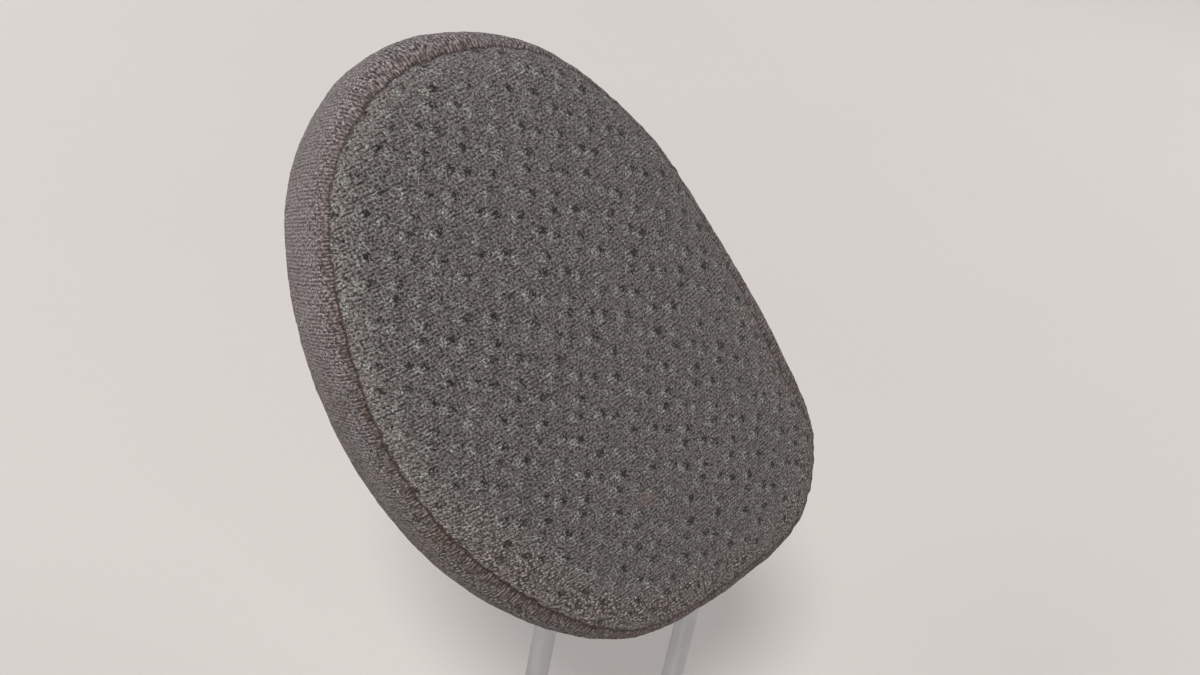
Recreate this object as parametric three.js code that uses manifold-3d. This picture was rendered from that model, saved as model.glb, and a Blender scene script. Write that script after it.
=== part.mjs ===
// Car headrest: an oval upholstered pad set at a slant on a bent steel rod.
// Millimetres, +Z up along the posts, the pad's show face towards -Y, origin between the post tips.
import * as THREE from 'three';
import { mergeVertices } from 'three/addons/utils/BufferGeometryUtils.js';
import Module from 'manifold-3d';

// Rod: two posts joined by a crossbar inside the pad.
const ROD_DIAMETER = 10;
const POST_SPACING = 79;
const BEND_HEIGHT = 199;
const POST_BEND_RADIUS = 30;
const ROD_RISE_IN_PAD = 60;
const ROD_CORNER_RADIUS = 20;
const TIP_CHAMFER = 1.5;
const NOTCH_COUNT = 4;
const NOTCH_FIRST_HEIGHT = 40;
const NOTCH_PITCH = 20;
const NOTCH_WIDTH = 5;
const NOTCH_DEPTH = 2;

// Pad: where its middle sits, how far its face looks up and how far its long axis leans sideways.
const PAD_CENTRE_X = -53;
const PAD_CENTRE_Y = 36;
const PAD_CENTRE_Z = 276;
const PAD_TILT_DEG = 27;
const PAD_LEAN_DEG = 24;
const BAND_DEPTH = 58;
const BAND_SWELL_POWER = 6;
const FRONT_CROWN = 16;
const BACK_CROWN = 12;
const EDGE_PUFF = 5;
const EDGE_PUFF_POWER = 20;
const SEAM_GROOVE = 2;
const BACK_INSET = 6;

// Outline of the front seam in the pad's own plane: across the pad, then along it, from its middle,
// and how far the band swells out beyond the outline there.
const OUTLINE = [
  [8, 126, 8],
  [53, 109, 3.5],
  [84, 58, 2.5],
  [93, 0, 6],
  [96, -66, 9.5],
  [96, -101, 5],
  [73, -128, 4],
  [30, -131, 5.5],
  [-24, -119, 4],
  [-61, -70, 7],
  [-78, -7, 3.5],
  [-70, 56, 3],
  [-48, 103, 1.5],
  [-20, 122, 5],
];

// Cover, armature and closure.
const FABRIC_THICKNESS = 3;
const GAP = 0.3;
const WIRE_DIAMETER = 6;
const WIRE_INSET = 42;
const CROSS_WIRE_OFFSET = 48;
const PLATE_THICKNESS = 1.5;
const PLATE_HEIGHT = 38;
const PLATE_OVERHANG = 4;
const PLATE_CORNER = 8;
const PLATE_HOLE_DIAMETER = 16;
const PLATE_HOLE_SPACING = 30;
const PLATE_DROP = 55;
const CLOSURE_DEPTH = 17;
const STRIP_LENGTH = 44;
const STRIP_WALL = 1.4;
const STRIP_CHANNEL = 2;
const STRIP_DEPTH = 9;
const STRIP_RECESS = 1;
const HOOK_FLOOR = 2;
const POCKET_REACH = 8;

// How finely curves are drawn.
const OUTLINE_STEPS = 72;
const PANEL_RINGS = 9;
const PANEL_RING_POWER = 1.6;
const BAND_RINGS = 9;
const ROD_SIDES = 28;
const WIRE_SIDES = 10;
const BEND_STEPS = 6;
const MERGE_DISTANCE = 1e-4;

const ROD_RADIUS = ROD_DIAMETER / 2;
const WIRE_RADIUS = WIRE_DIAMETER / 2;
const HALF_BAND = BAND_DEPTH / 2;
const HALF_SPACING = POST_SPACING / 2;
const tilt = THREE.MathUtils.degToRad(PAD_TILT_DEG);
const lean = THREE.MathUtils.degToRad(PAD_LEAN_DEG);

const wasm = await Module();
wasm.setup();

// The pad's own axes in the part's frame: across, along (up the pad) and depth (towards its back).
const tiltMatrix = new THREE.Matrix4().makeRotationX(-tilt);
const leanMatrix = new THREE.Matrix4().makeRotationY(-lean);
const padCentre = new THREE.Vector3(PAD_CENTRE_X, PAD_CENTRE_Y, PAD_CENTRE_Z);
const padMatrix = new THREE.Matrix4().makeTranslation(padCentre).multiply(tiltMatrix).multiply(leanMatrix);
const uprightMatrix = new THREE.Matrix4().makeTranslation(padCentre).multiply(tiltMatrix);

function padPoint(across, depth, along) {
  return new THREE.Vector3(across, depth, along).applyMatrix4(padMatrix);
}

// A closed triangle mesh as a solid for the boolean steps.
function solidFrom(positions, index) {
  return new wasm.Manifold(new wasm.Mesh({
    numProp: 3,
    vertProperties: new Float32Array(positions),
    triVerts: new Uint32Array(index),
  }));
}

function solidFromGeometry(geometry, matrix) {
  const bare = new THREE.BufferGeometry();
  bare.setAttribute('position', geometry.getAttribute('position').clone());
  if (geometry.index) bare.setIndex(geometry.index.clone());
  bare.applyMatrix4(matrix);
  const merged = mergeVertices(bare, MERGE_DISTANCE);
  return solidFrom(merged.getAttribute('position').array, merged.index.array);
}

// Rings of points joined in order, closed at both ends by a middle point, or end to end on themselves.
function solidFromRings(rings, endless) {
  const sides = rings[0].length;
  const positions = [];
  const index = [];
  rings.forEach((ring) => ring.forEach((p) => positions.push(p.x, p.y, p.z)));
  const spans = endless ? rings.length : rings.length - 1;
  for (let r = 0; r < spans; r += 1) {
    const here = r * sides;
    const next = ((r + 1) % rings.length) * sides;
    for (let s = 0; s < sides; s += 1) {
      const t = (s + 1) % sides;
      index.push(here + s, here + t, next + t);
      index.push(here + s, next + t, next + s);
    }
  }
  if (!endless) {
    [[rings[0], 0, false], [rings[rings.length - 1], (rings.length - 1) * sides, true]].forEach(
      ([ring, start, last]) => {
        const middle = ring.reduce((sum, p) => sum.add(p), new THREE.Vector3()).divideScalar(sides);
        const pole = positions.length / 3;
        positions.push(middle.x, middle.y, middle.z);
        for (let s = 0; s < sides; s += 1) {
          const t = (s + 1) % sides;
          index.push(pole, last ? start + s : start + t, last ? start + t : start + s);
        }
      },
    );
  }
  const solid = solidFrom(positions, index);
  return solid.volume() < 0 ? solidFrom(positions, index.reverse()) : solid;
}

// A round bar along a path, its rings carried along without twist; end radii may differ for chamfers.
function roundBar(path, radius, sides, endless, chamfer) {
  const count = path.length;
  const tangents = path.map((p, i) => {
    const before = endless ? path[(i + count - 1) % count] : path[Math.max(i - 1, 0)];
    const after = endless ? path[(i + 1) % count] : path[Math.min(i + 1, count - 1)];
    return after.clone().sub(before).normalize();
  });
  const normal = new THREE.Vector3(0, 1, 0).cross(tangents[0]);
  if (normal.length() < 0.1) normal.set(1, 0, 0).cross(tangents[0]);
  normal.normalize();
  const rings = path.map((p, i) => {
    normal.addScaledVector(tangents[i], -normal.dot(tangents[i])).normalize();
    const side = tangents[i].clone().cross(normal);
    const atEnd = !endless && (i === 0 || i === count - 1);
    const size = atEnd ? radius - chamfer : radius;
    return Array.from({ length: sides }, (_, s) => {
      const angle = (2 * Math.PI * s) / sides;
      return p.clone()
        .addScaledVector(normal, size * Math.cos(angle))
        .addScaledVector(side, size * Math.sin(angle));
    });
  });
  return solidFromRings(rings, endless);
}

// Replaces a path's corner by an arc of the given radius.
function roundedPath(corners, radii) {
  const path = [corners[0].clone()];
  for (let i = 1; i < corners.length - 1; i += 1) {
    const into = corners[i - 1].clone().sub(corners[i]).normalize();
    const out = corners[i + 1].clone().sub(corners[i]).normalize();
    const half = into.angleTo(out) / 2;
    const reach = radii[i - 1] / Math.tan(half);
    const bisector = into.clone().add(out).normalize();
    const centre = corners[i].clone().addScaledVector(bisector, radii[i - 1] / Math.sin(half));
    const from = corners[i].clone().addScaledVector(into, reach).sub(centre);
    const to = corners[i].clone().addScaledVector(out, reach).sub(centre);
    const sweep = from.angleTo(to);
    const axis = from.clone().cross(to).normalize();
    for (let s = 0; s <= BEND_STEPS; s += 1) {
      path.push(centre.clone().add(from.clone().applyAxisAngle(axis, (sweep * s) / BEND_STEPS)));
    }
  }
  path.push(corners[corners.length - 1].clone());
  return path;
}

// The seam outline as evenly spread points, with the sideways direction and the band's bulge at each.
function outlinePoints() {
  const curve = new THREE.CatmullRomCurve3(
    OUTLINE.map(([across, along, bulge]) => new THREE.Vector3(across, bulge, along)),
    true,
    'centripetal',
  );
  return Array.from({ length: OUTLINE_STEPS }, (_, i) => {
    const t = i / OUTLINE_STEPS;
    const tangent = curve.getTangentAt(t);
    const point = curve.getPointAt(t);
    return { point, normal: new THREE.Vector3(-tangent.z, 0, tangent.x).normalize(), bulge: point.y };
  });
}

const outline = outlinePoints();
const outwards = outline[0].normal.z > 0 ? 1 : -1;

function ringOf(offsetFor, share, depth) {
  return outline.map(({ point, normal, bulge }) => {
    const offset = outwards * offsetFor(bulge);
    const x = (point.x + normal.x * offset) * share;
    const z = (point.z + normal.z * offset) * share;
    return padPoint(x, depth, z);
  });
}

function outlineRing(offset, share, depth) {
  return ringOf(() => offset, share, depth);
}

// A ring of the band's skin, or of a layer inside it, at a depth between the two seams.
function bandRing(share, inset, depth) {
  const swell = 1 - Math.abs(2 * share - 1) ** BAND_SWELL_POWER;
  const reach = (bulge) => (SEAM_GROOVE + bulge) * swell - SEAM_GROOVE - BACK_INSET * share - inset;
  return ringOf(reach, 1, depth);
}

// The upholstered pad's form, drawn in all round by a skin's thickness.
function padSolid(skin) {
  const rings = [];
  const rise = (crown, share) => crown * (1 - share ** 2) + EDGE_PUFF * (1 - share ** EDGE_PUFF_POWER);
  const shares = Array.from({ length: PANEL_RINGS }, (_, i) => {
    const left = 1 - (i + 1) / PANEL_RINGS;
    return 1 - left ** PANEL_RING_POWER;
  });
  shares.forEach((share) => {
    const depth = -(HALF_BAND - skin + rise(FRONT_CROWN, share));
    rings.push(outlineRing(-SEAM_GROOVE - skin, share, depth));
  });
  for (let i = 1; i < BAND_RINGS; i += 1) {
    const share = i / BAND_RINGS;
    rings.push(bandRing(share, skin, (2 * share - 1) * (HALF_BAND - skin)));
  }
  [...shares].reverse().forEach((share) => {
    const depth = HALF_BAND - skin + rise(BACK_CROWN, share);
    rings.push(outlineRing(-SEAM_GROOVE - BACK_INSET - skin, share, depth));
  });
  return solidFromRings(rings, false);
}

// A block in the pad's own axes, from one depth to another.
function padSlab(fromDepth, toDepth) {
  const reach = 400;
  const block = new THREE.BoxGeometry(reach, toDepth - fromDepth, reach);
  block.translate(0, (fromDepth + toDepth) / 2, 0);
  return solidFromGeometry(block, padMatrix);
}

// The rod's path: up one post, back into the pad's plane, across and down again.
function rodPath() {
  const up = new THREE.Vector3(0, Math.sin(tilt), Math.cos(tilt));
  const bend = (x) => new THREE.Vector3(x, 0, BEND_HEIGHT);
  const top = (x) => bend(x).addScaledVector(up, ROD_RISE_IN_PAD);
  const corners = [
    new THREE.Vector3(-HALF_SPACING, 0, 0),
    bend(-HALF_SPACING),
    top(-HALF_SPACING),
    top(HALF_SPACING),
    bend(HALF_SPACING),
    new THREE.Vector3(HALF_SPACING, 0, 0),
  ];
  const radii = [POST_BEND_RADIUS, ROD_CORNER_RADIUS, ROD_CORNER_RADIUS, POST_BEND_RADIUS];
  const path = roundedPath(corners, radii);
  const chamferEnd = (x) => new THREE.Vector3(x, 0, TIP_CHAMFER);
  path.splice(1, 0, chamferEnd(-HALF_SPACING));
  path.splice(path.length - 1, 0, chamferEnd(HALF_SPACING));
  return path;
}

// Depth of the rod's upper part behind the pad's middle plane.
const rodMiddle = new THREE.Vector3(0, 0, BEND_HEIGHT).applyMatrix4(padMatrix.clone().invert());
const rodDepth = rodMiddle.y;

function rodBlank(extra) {
  return roundBar(rodPath(), ROD_RADIUS + extra, ROD_SIDES, false, TIP_CHAMFER);
}

function rodFrame() {
  let rod = rodBlank(0);
  for (let i = 0; i < NOTCH_COUNT; i += 1) {
    const cut = new THREE.BoxGeometry(ROD_DIAMETER, ROD_DIAMETER * 2, NOTCH_WIDTH);
    const x = HALF_SPACING + ROD_DIAMETER - NOTCH_DEPTH;
    const place = new THREE.Matrix4().makeTranslation(x, 0, NOTCH_FIRST_HEIGHT + i * NOTCH_PITCH);
    rod = rod.subtract(solidFromGeometry(cut, place));
  }
  return rod;
}

// A wire hoop behind the rod carries the foam out to the pad's far end.
const wireDepth = rodDepth + ROD_RADIUS + GAP + WIRE_RADIUS;

function supportHoop(extra) {
  const path = outlineRing(-WIRE_INSET, 1, wireDepth).filter((_, i) => i % 2 === 0);
  return roundBar(path, WIRE_RADIUS + extra, WIRE_SIDES, true, 0);
}

function crossWire(extra) {
  const depth = wireDepth + WIRE_DIAMETER + GAP;
  const ends = outlineRing(-WIRE_INSET + WIRE_RADIUS, 1, depth)
    .map((p) => p.clone().applyMatrix4(padMatrix.clone().invert()));
  const near = (sign) => ends
    .filter((p) => Math.sign(p.x) === sign)
    .reduce((a, b) => (Math.abs(b.z - CROSS_WIRE_OFFSET) < Math.abs(a.z - CROSS_WIRE_OFFSET) ? b : a));
  const path = [near(-1), near(1)].map((p) => padPoint(p.x, depth, p.z));
  return roundBar(path, WIRE_RADIUS + extra, WIRE_SIDES, false, 0);
}

// A pressed plate in front of the rod's legs, with two lightening holes.
function supportPlate(extra) {
  const halfWidth = HALF_SPACING + ROD_RADIUS + PLATE_OVERHANG + extra;
  const halfHeight = PLATE_HEIGHT / 2 + extra;
  const shape = new THREE.Shape();
  const c = PLATE_CORNER;
  shape.moveTo(-halfWidth + c, -halfHeight);
  shape.lineTo(halfWidth - c, -halfHeight);
  shape.absarc(halfWidth - c, -halfHeight + c, c, -Math.PI / 2, 0, false);
  shape.absarc(halfWidth - c, halfHeight - c, c, 0, Math.PI / 2, false);
  shape.absarc(-halfWidth + c, halfHeight - c, c, Math.PI / 2, Math.PI, false);
  shape.absarc(-halfWidth + c, -halfHeight + c, c, Math.PI, 1.5 * Math.PI, false);
  if (extra === 0) {
    [-PLATE_HOLE_SPACING / 2, PLATE_HOLE_SPACING / 2].forEach((x) => {
      const hole = new THREE.Path();
      hole.absarc(x, 0, PLATE_HOLE_DIAMETER / 2, 0, 2 * Math.PI, true);
      shape.holes.push(hole);
    });
  }
  const thickness = PLATE_THICKNESS + 2 * extra;
  const plate = new THREE.ExtrudeGeometry(shape, { depth: thickness, bevelEnabled: false, curveSegments: 8 });
  plate.translate(0, 0, -thickness / 2);
  plate.rotateX(Math.PI / 2);
  const depth = rodDepth - ROD_RADIUS - GAP - PLATE_THICKNESS / 2;
  plate.translate(-PAD_CENTRE_X, depth, -PLATE_DROP);
  return solidFromGeometry(plate, uprightMatrix);
}

// The cover closes along a slit between the posts, where two hooked strips hold its edges.
// Their own frame: X along the slit, Y along the pad's depth, Z into the pad.
function closureMatrix() {
  const inverse = padMatrix.clone().invert();
  const ring = bandRing((CLOSURE_DEPTH + HALF_BAND) / BAND_DEPTH, STRIP_RECESS, CLOSURE_DEPTH);
  const low = ring.filter((p) => p.z < PAD_CENTRE_Z);
  const middle = low.reduce((a, b) => (Math.abs(b.x) < Math.abs(a.x) ? b : a));
  const at = ring.indexOf(middle);
  const before = ring[(at + ring.length - 1) % ring.length].clone().applyMatrix4(inverse);
  const after = ring[(at + 1) % ring.length].clone().applyMatrix4(inverse);
  const along = after.sub(before).setY(0).normalize();
  if (along.x < 0) along.negate();
  const depth = new THREE.Vector3(0, 1, 0);
  const inward = along.clone().cross(depth);
  const own = new THREE.Matrix4().makeBasis(along, depth, inward);
  own.setPosition(middle.clone().applyMatrix4(inverse));
  return padMatrix.clone().multiply(own);
}

function closureStrip(profile) {
  const shape = new THREE.Shape(profile.map(([y, z]) => new THREE.Vector2(y, z)));
  const strip = new THREE.ExtrudeGeometry(shape, { depth: STRIP_LENGTH, bevelEnabled: false });
  strip.translate(0, 0, -STRIP_LENGTH / 2);
  const turn = new THREE.Matrix4().makeBasis(
    new THREE.Vector3(0, 1, 0),
    new THREE.Vector3(0, 0, 1),
    new THREE.Vector3(1, 0, 0),
  );
  return solidFromGeometry(strip, closureMatrix().multiply(turn));
}

// A hook that opens outwards, seen along the slit.
function outerHook() {
  const left = -STRIP_CHANNEL / 2 - STRIP_WALL;
  const right = STRIP_CHANNEL / 2 + STRIP_WALL;
  return closureStrip([
    [left, 0],
    [left + STRIP_WALL, 0],
    [left + STRIP_WALL, STRIP_DEPTH - STRIP_WALL],
    [right - STRIP_WALL, STRIP_DEPTH - STRIP_WALL],
    [right - STRIP_WALL, HOOK_FLOOR + STRIP_WALL + GAP],
    [right, HOOK_FLOOR + STRIP_WALL + GAP],
    [right, STRIP_DEPTH],
    [left, STRIP_DEPTH],
  ]);
}

// The other hook, which opens inwards and stands in the first one's channel.
function innerHook() {
  const left = -STRIP_CHANNEL / 2 + GAP;
  const right = STRIP_CHANNEL / 2 + STRIP_WALL + GAP;
  const tip = left + STRIP_CHANNEL - 2 * GAP;
  return closureStrip([
    [right, 0],
    [right + STRIP_WALL, 0],
    [right + STRIP_WALL, HOOK_FLOOR + STRIP_WALL],
    [tip, HOOK_FLOOR + STRIP_WALL],
    [tip, STRIP_DEPTH - STRIP_WALL - GAP],
    [left, STRIP_DEPTH - STRIP_WALL - GAP],
    [left, HOOK_FLOOR],
    [right, HOOK_FLOOR],
  ]);
}

// The slit and the pocket behind it that the two hooks stand in.
function closurePocket() {
  const left = -STRIP_CHANNEL / 2 - STRIP_WALL - GAP;
  const right = STRIP_CHANNEL / 2 + 2 * STRIP_WALL + 2 * GAP;
  const height = STRIP_DEPTH + GAP + POCKET_REACH;
  const pocket = new THREE.BoxGeometry(STRIP_LENGTH + 2 * GAP, right - left, height);
  pocket.translate(0, (left + right) / 2, height / 2 - POCKET_REACH);
  return solidFromGeometry(pocket, closureMatrix());
}

// Everything that stands inside the foam, grown by the working gap.
function armatureSpace() {
  return [rodBlank(GAP), supportHoop(GAP), crossWire(GAP), supportPlate(GAP), closurePocket()]
    .reduce((all, solid) => all.add(solid));
}

function foamCore() {
  return padSolid(FABRIC_THICKNESS + GAP).subtract(armatureSpace());
}

// The cover is three sewn pieces that meet in the two seam grooves.
function coverPieces() {
  const openings = rodBlank(GAP).add(closurePocket());
  const skin = padSolid(0).subtract(padSolid(FABRIC_THICKNESS)).subtract(openings);
  const beyond = 2 * BAND_DEPTH;
  return {
    front: skin.intersect(padSlab(-beyond, -HALF_BAND - GAP / 2)),
    band: skin.intersect(padSlab(-HALF_BAND + GAP / 2, HALF_BAND - GAP / 2)),
    back: skin.intersect(padSlab(HALF_BAND + GAP / 2, beyond)),
  };
}

const materials = {
  fabric: ['#7c7a77', 0.95, 0],
  foam: ['#d9cfae', 0.95, 0],
  chrome: ['#c4c8cb', 0.2, 1],
  steel: ['#6f7275', 0.5, 1],
  plastic: ['#2b2c2e', 0.6, 0],
};

function node(name, solid, finish) {
  const mesh = solid.getMesh();
  const geometry = new THREE.BufferGeometry();
  geometry.setAttribute('position', new THREE.BufferAttribute(new Float32Array(mesh.vertProperties), 3));
  geometry.setIndex(new THREE.BufferAttribute(new Uint32Array(mesh.triVerts), 1));
  geometry.computeVertexNormals();
  const [color, roughness, metalness] = materials[finish];
  const result = new THREE.Mesh(geometry, new THREE.MeshStandardMaterial({ color, roughness, metalness }));
  result.name = name;
  return result;
}

const headrest = new THREE.Group();
headrest.name = 'car_headrest';
const cover = coverPieces();
headrest.add(node('cover_front_panel', cover.front, 'fabric'));
headrest.add(node('cover_side_band', cover.band, 'fabric'));
headrest.add(node('cover_back_panel', cover.back, 'fabric'));
headrest.add(node('closure_strip_outer', outerHook(), 'plastic'));
headrest.add(node('closure_strip_inner', innerHook(), 'plastic'));
headrest.add(node('foam_core', foamCore(), 'foam'));
headrest.add(node('support_hoop', supportHoop(0), 'steel'));
headrest.add(node('cross_wire', crossWire(0), 'steel'));
headrest.add(node('support_plate', supportPlate(0), 'steel'));
headrest.add(node('rod_frame', rodFrame(), 'chrome'));

export default headrest;
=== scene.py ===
"""Dresses the car headrest: its cloth cover, foam, rod and armature, and the studio round it.

Lengths are written in millimetres, as in the part's source, and turned to metres when a mesh is made.
The studio is in metres, and so are the bumps of the materials and what they take from an object's place.
"""
import math

import bmesh
import bpy
import numpy as np
from mathutils import Matrix, Vector, kdtree


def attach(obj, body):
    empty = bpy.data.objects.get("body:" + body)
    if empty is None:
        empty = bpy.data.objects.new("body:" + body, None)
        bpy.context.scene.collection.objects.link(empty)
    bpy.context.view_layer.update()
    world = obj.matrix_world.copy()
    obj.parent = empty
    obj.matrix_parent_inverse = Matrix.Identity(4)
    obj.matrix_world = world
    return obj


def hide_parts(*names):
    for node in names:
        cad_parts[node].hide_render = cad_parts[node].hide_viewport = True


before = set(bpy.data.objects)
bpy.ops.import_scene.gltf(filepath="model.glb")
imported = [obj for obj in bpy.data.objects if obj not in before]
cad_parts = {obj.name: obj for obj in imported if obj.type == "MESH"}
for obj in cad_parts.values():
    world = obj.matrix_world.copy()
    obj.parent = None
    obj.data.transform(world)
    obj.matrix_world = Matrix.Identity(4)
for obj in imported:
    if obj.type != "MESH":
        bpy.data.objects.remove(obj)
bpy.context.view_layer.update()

MM = 0.001

# The pad, with the same sizes as the solids.
PAD_CENTRE = (-53, 36, 276)
PAD_TILT = math.radians(27)
PAD_LEAN = math.radians(24)
HALF_BAND = 29
BAND_SWELL_POWER = 6
FRONT_CROWN = 16
BACK_CROWN = 12
EDGE_PUFF = 5
EDGE_PUFF_POWER = 20
SEAM_GROOVE = 2
BACK_INSET = 6

# The front seam in the pad's plane: across, along, and how far the band swells out beyond it there.
OUTLINE = (
    (8, 126, 8), (53, 109, 3.5), (84, 58, 2.5), (93, 0, 6), (96, -66, 9.5), (96, -101, 5), (73, -128, 4),
    (30, -131, 5.5), (-24, -119, 4), (-61, -70, 7), (-78, -7, 3.5), (-70, 56, 3), (-48, 103, 1.5),
    (-20, 122, 5),
)

# How much fuller the soft band is at its middle than the solid one.
BAND_CROWN = 1.3

# Where the closure's strips press the band out at their ends (across, depth), and by how much.
STRIP_ENDS = ((-17.6, 18.5, 3.6), (25.5, 19.5, 2.6))
STRIP_LUMP_REACH = 9

# How finely the cover is drawn: points along a seam, and rings close to a seam and further from it.
SECTORS = 720
COARSE_SECTORS = 144
CLOSE_TO_SEAM = 10
PANEL_RINGS = (15, 26)
BAND_RINGS = (13, 8)

# A panel's rings run nearly to its middle, which is taken to lie this far from the seam.
PANEL_REACH = 66
PANEL_DRAWN_SHARE = 0.985

# The pad's form for the simulation: how far it lies inside the cover, its mesh, and its rings.
FORM_INSET = 0.2
VOXEL = 5
FORM_PANEL_SHARES = (0.02, 0.15, 0.3, 0.45, 0.6, 0.72, 0.82, 0.9, 0.95, 0.98, 1.0)
FORM_BAND_SHARES = np.linspace(0.06, 0.94, 12)

# The simulation of the cloth, and how much of its movement the cover takes.
CLOTH_FRAMES = 20
CLOTH_QUALITY = 5
CLOTH_MASS = 0.3
CLOTH_STIFFNESS = 5
CLOTH_BENDING = 0.5
FOAM_PRESSURE = 60
HELD_WITHIN = 4
FREE_BEYOND = 14
MOST_SWELL = 4
SWELL_NEIGHBOURS = 40
SWELL_REACH = 6

# The cover's relief. Waves are wavelengths along a seam, and reaches are distances from it.
PUCKER_WAVES = (4.9, 6.7, 9.1, 5.7)
PUCKER_CHANGE_WAVES = (90, 57, 133)
PUCKER_HEIGHT = 0.3
PUCKER_MEAN = 0.45
PUCKER_CHANGE = 0.35
STRAY_WAVES = (7.7, 12.3, 19.9)
STRAY_WIDTH = 0.3
SEAM_REACH = 4.0
VALLEY_DEPTH = 0.5
VALLEY_REACH = 0.9
FLAT_REACH = 2.0
FRONT_SEED = 11
BACK_SEED = 31

# The cloth's lumps: how large each kind is, and how high.
LUMPS = ((16, 0.1), (4.5, 0.05), (1.7, 0.05))
LUMP_DIRECTIONS = 24
LUMP_SPREAD = (0.7, 1.4)

# The cloth's repeat in the pad's plane: where one starts, its two sides, and the tufts in it.
REPEAT_START = (-45, 80)
REPEAT_ACROSS = (17.29, -0.36)
REPEAT_ALONG = (1.06, -18.14)
LOOPS_IN_REPEAT = 12
TUFTS = ((0.75, 0.03), (0.50, 0.29), (0.0, 0.53), (0.26, 0.77))
TUFT_HALF = (2.0, 2.5)
TUFT_STRAY = 1.3
FLECK_SHIFT = (3.1, 0.4)
FLECK_HALF = (1.4, 1.9)

# The knit of the face and of the band: a loop's length, the valleys between the courses, and the
# darkest and brightest strokes. The face's courses follow its repeat.
FACE_LOOP = 1.3
FACE_RIB = 1.15
FACE_STROKES = (0.1, 1.85)
BAND_COURSE = 1.42
BAND_LOOP = 2.0
BAND_RIB = 1.55
BAND_STROKES = (0.0, 2.15)
LOOP_BEND = 0.8
NUB_SIZE = 1.55
CLOTH_BUMP = 0.0006

# Heights in metres above which the band is plain and below which it takes painted shade and brown dirt, and
# how ragged that is.
LOW_SHADE_AND_DIRT_HEIGHTS = (0.34, 0.22)
LOW_SHADE_AND_DIRT_RAGGED = 0.03

# A small brown stain on the front, across and along the pad, and its half sizes.
STAIN_AT = (0, -64)
STAIN_HALF = (4.5, 3)

# The rod, with the same sizes as the solids, and how finely it is drawn.
ROD_RADIUS = 5
HALF_SPACING = 39.5
BEND_HEIGHT = 199
POST_BEND_RADIUS = 30
ROD_RISE_IN_PAD = 60
ROD_CORNER_RADIUS = 20
TIP_CHAMFER = 1.5
NOTCH_COUNT = 4
NOTCH_FIRST_HEIGHT = 40
NOTCH_PITCH = 20
NOTCH_WIDTH = 5
NOTCH_DEPTH = 2
ROD_SIDES = 48
ROD_SHARP_ANGLE = math.radians(35)
SAME_PLACE = 1e-6

# The camera, from the fit of the cloth's repeats, the seam and the silhouette to the photograph.
CAMERA_AT = (-331.0, -401.0, 578.2)
CAMERA_TURN = (60.51, -9.36, -30.74)
CAMERA_LENS = 44.08
SENSOR_WIDTH = 36

# The studio, in metres: each lamp's name, place, width and power, and the point that they aim at.
LAMPS = (
    ("key", (-2.5, -2.3, 4.2), 1.3, 205),
    ("side", (-3.6, 0.6, 2.4), 2.4, 66),
    ("fill", (3.4, -2.4, 3.0), 3.0, 78),
)
LAMPS_AIM = (-0.03, 0.02, 0.27)
FLOOR_HALF = 6.0
# Over these distances in metres, the floor's painted shade near the pad gives way to painted light further
# off.
FLOOR_FADE = (0.2, 2.2)
CAMERA_FAR = 50

# The sky's light falls off in this direction, between these shares of it, from one strength to another.
SKY_SIDE = (0.86, -0.51, 0)
SKY_SHARES = (-0.9, 0.5)
SKY_STRENGTHS = (0.58, 0.12)
SKY_TINT = (0.95, 0.96, 1.0, 1)


def pad_matrix():
    """From the pad's own axes (across, depth, along) to the part's frame, in millimetres."""
    return (
        Matrix.Translation(Vector(PAD_CENTRE))
        @ Matrix.Rotation(-PAD_TILT, 4, "X")
        @ Matrix.Rotation(-PAD_LEAN, 4, "Y")
    )


PAD = np.array(pad_matrix())


def to_frame(points):
    """Pad points in millimetres as points of the part's frame in metres."""
    return (points @ PAD[:3, :3].T + PAD[:3, 3]) * MM


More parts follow.
